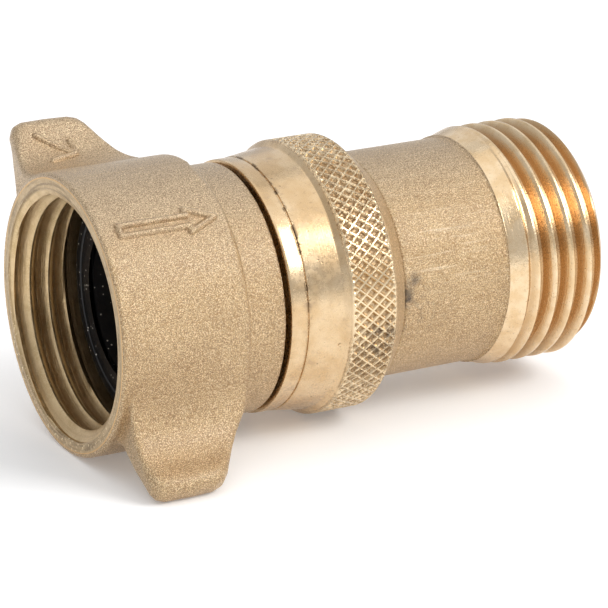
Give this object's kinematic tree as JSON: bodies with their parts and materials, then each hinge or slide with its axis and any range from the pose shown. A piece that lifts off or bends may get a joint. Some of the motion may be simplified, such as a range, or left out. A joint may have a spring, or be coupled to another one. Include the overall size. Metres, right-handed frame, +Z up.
{
  "type": "hose water pressure regulator",
  "caption": "In-line brass water pressure regulator with a winged swivel inlet nut, a knurled joining ring and a male garden-hose outlet thread.",
  "frame": {"origin": "on the flow axis at the centre of the swivel nut's rim face, where a hose enters", "axes": "+X along the water's flow from the nut to the male thread, +Z up with the part lying on its side"},
  "size_m": [0.0594, 0.0379, 0.0318],
  "materials": {
    "cast_brass": "sand-cast, matte with a fine grain",
    "machined_brass": "turned, satin",
    "polished_brass": "turned and polished, small dents",
    "black_rubber": "moulded rubber, satin",
    "nitrile": "greased O-ring rubber",
    "acetal": "black acetal, moulded",
    "stainless": "drawn stainless"
  },
  "bodies": {
    "body": {"tailpiece": "machined_brass", "tailpiece_o_ring": "nitrile", "knurled_housing": "polished_brass", "seat_carrier": "acetal", "seat_disc": "black_rubber", "seat_screw": "stainless", "stem_guide": "acetal", "guide_o_ring": "nitrile", "stem_o_ring": "nitrile", "spring_seat": "stainless", "spring": "stainless", "outlet_body": "cast_brass", "housing_o_ring": "nitrile"},
    "nut": {"wing_nut": "cast_brass", "hose_washer": "black_rubber"},
    "piston": {"piston": "acetal", "piston_o_ring": "nitrile", "spring_shim": "stainless"}
  },
  "joints": [
    {"name": "nut_swivel", "type": "hinge", "parent": "body", "child": "nut", "pos_m": [0.01, 0, 0], "axis": [1, 0, 0], "continuous": true},
    {"name": "piston_travel", "type": "slide", "parent": "body", "child": "piston", "axis": [-1, 0, 0], "range_m": [0, 0.0019], "stiffness_N_per_m": 9000, "springref_m": -0.004, "deforming": ["spring"]}
  ]
}
